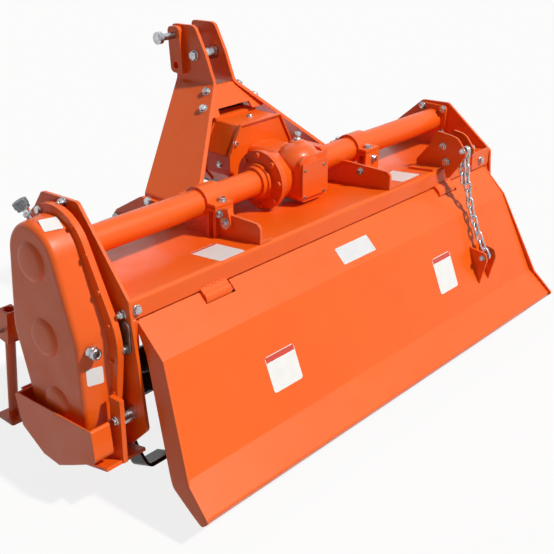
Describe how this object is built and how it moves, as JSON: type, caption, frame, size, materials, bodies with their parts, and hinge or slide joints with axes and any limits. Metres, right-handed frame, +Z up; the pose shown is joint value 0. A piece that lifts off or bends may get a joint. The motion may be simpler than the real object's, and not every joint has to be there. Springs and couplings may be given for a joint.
{
  "type": "tractor-mounted rotary tiller",
  "caption": "Three-point-linkage rotary tiller: folded hood, gear-driven tine rotor, hinged tailgate on a chain, A-shaped mast, bevel gearbox, skids and parking stand.",
  "frame": {"origin": "under the middle of the whole machine, on the ground", "axes": "+X to the right seen from behind, +Y forward to the tractor, +Z up"},
  "size_m": [1.653, 0.839, 0.9133],
  "materials": {
    "orange_paint": "gloss powder coat",
    "orange_casting": "painted casting, slightly rough",
    "zinc": "zinc plated",
    "rotor_black": "satin black paint",
    "bare_steel": "oiled machined steel"
  },
  "bodies": {
    "frame": {"hood_shell": "orange_paint", "side_plate_left": "orange_paint", "side_plate_right": "orange_paint", "hinge_barrels": "orange_paint", "hinge_pins": "zinc", "chain_bracket": "orange_paint", "chain_pin": "zinc", "axle_tube_left": "orange_paint", "axle_tube_right": "orange_paint", "tube_clamps": "orange_paint", "hood_brackets": "orange_paint", "gearbox_housing": "orange_casting", "gearbox_cover": "orange_casting", "pto_shield": "orange_paint", "gear_case_back": "orange_paint", "gear_case_cover": "orange_paint", "filler_cap": "zinc", "sight_plug": "zinc", "mast_plate_right": "orange_paint", "mast_plate_left": "orange_paint", "mast_cross_plate": "orange_paint", "mast_spacer": "zinc", "mast_ears": "orange_paint", "top_link_pin": "zinc", "hitch_brackets": "orange_paint", "lower_hitch_pins": "zinc", "skid_left": "orange_paint", "skid_right": "orange_paint", "skid_spacers": "zinc", "gear_guard": "orange_paint", "stand_socket": "orange_paint", "stand_clamp_bolt": "zinc", "rotor_bearings": "orange_casting"},
    "tailgate": {"tailgate_panel": "orange_paint", "tailgate_end_plates": "orange_paint", "tailgate_barrels": "orange_paint", "tailgate_chain_ears": "orange_paint", "tailgate_chain_bolt": "zinc"},
    "chain": {"chain_links": "zinc"},
    "rotor": {"rotor_shaft": "rotor_black", "rotor_tines": "rotor_black"},
    "input_shaft": {"pto_input_shaft": "bare_steel"},
    "stand": {"stand_leg": "orange_paint"}
  },
  "joints": [
    {"name": "tailgate_hinge", "type": "hinge", "parent": "frame", "child": "tailgate", "pos_m": [0.0115, -0.17488, 0.433], "axis": [-1, 0, 0], "range_deg": [0, 50]},
    {"name": "chain_swing", "type": "hinge", "parent": "frame", "child": "chain", "pos_m": [0.4955, -0.23038, 0.563], "axis": [-1, 0, 0], "range_deg": [0, 67.5]},
    {"name": "rotor_spin", "type": "hinge", "parent": "frame", "child": "rotor", "pos_m": [0.0115, -0.01338, 0.22362], "axis": [-1, 0, 0], "continuous": true},
    {"name": "input_spin", "type": "hinge", "parent": "frame", "child": "input_shaft", "pos_m": [0.0215, 0.03262, 0.559], "axis": [0, 1, 0], "continuous": true},
    {"name": "stand_slide", "type": "slide", "parent": "frame", "child": "stand", "axis": [0, -0.1196, 0.9928], "range_m": [0, 0.15]}
  ],
  "couplings": [
    {"joint": "chain_swing", "follows": "tailgate_hinge", "ratio": 1.35},
    {"joint": "input_spin", "follows": "rotor_spin", "ratio": 2.45}
  ]
}
